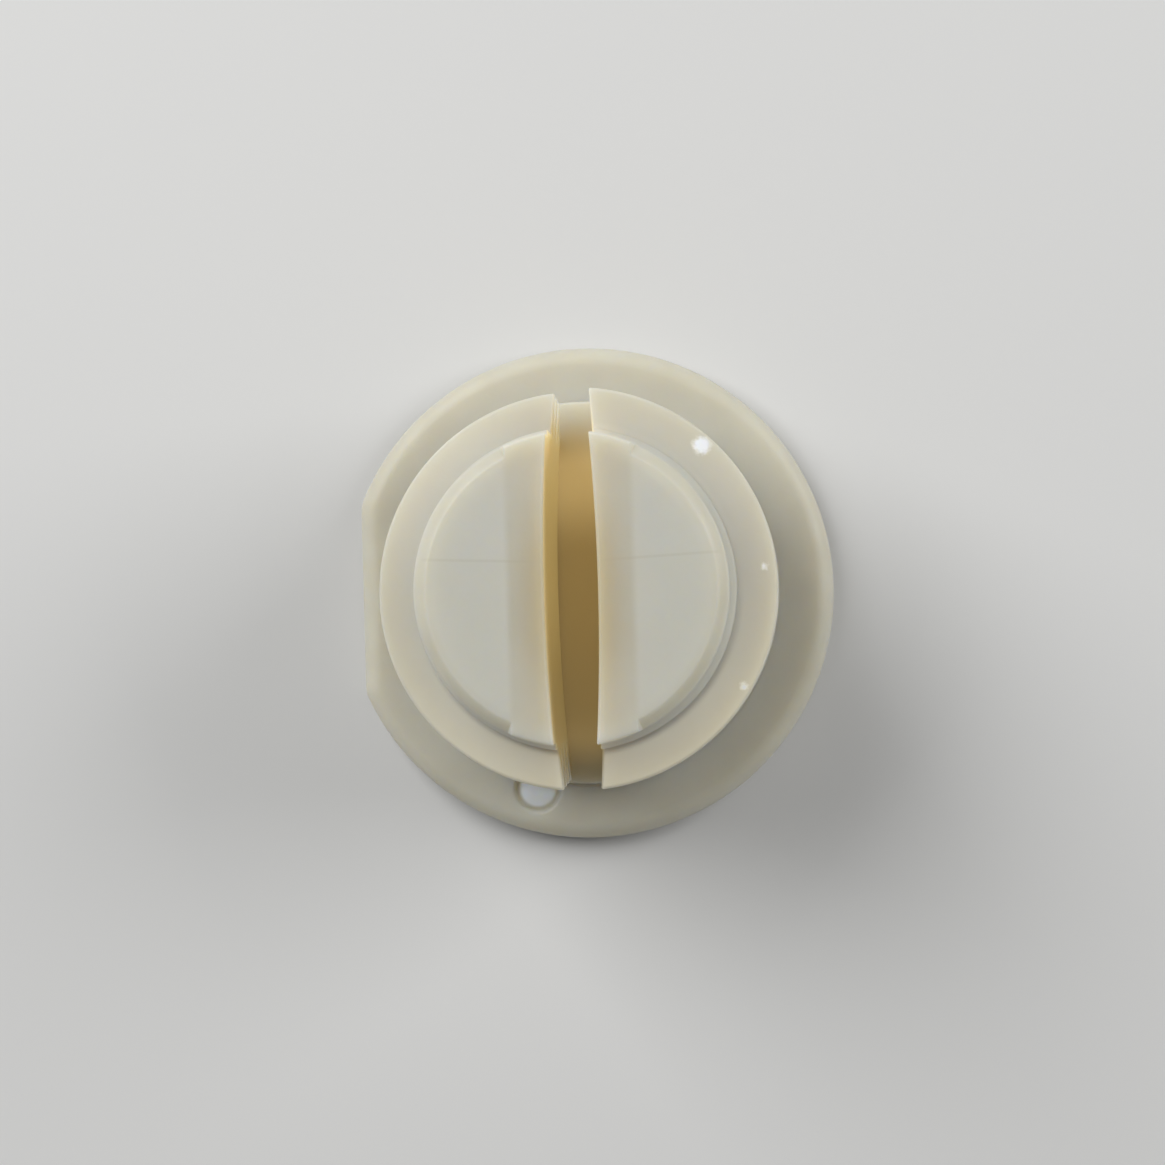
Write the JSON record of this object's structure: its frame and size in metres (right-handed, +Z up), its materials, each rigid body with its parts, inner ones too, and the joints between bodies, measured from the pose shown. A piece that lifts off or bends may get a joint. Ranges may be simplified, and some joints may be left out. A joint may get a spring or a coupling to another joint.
{
  "type": "leveling leg",
  "caption": "Nylon screw-in leveling leg: a flat round foot with a flat-sided rim and a slotted, coarse-threaded stud that sets an appliance's height.",
  "frame": {"origin": "centre of the foot's underside, on the stud's axis", "axes": "+Z up the stud, +Y along the slot, -X towards the flat on the foot's rim"},
  "size_m": [0.0377, 0.0392, 0.03],
  "materials": {
    "nylon": "natural nylon, off-white and slightly translucent, satin"
  },
  "bodies": {
    "root": {"leveling_leg": "nylon"}
  },
  "joints": []
}
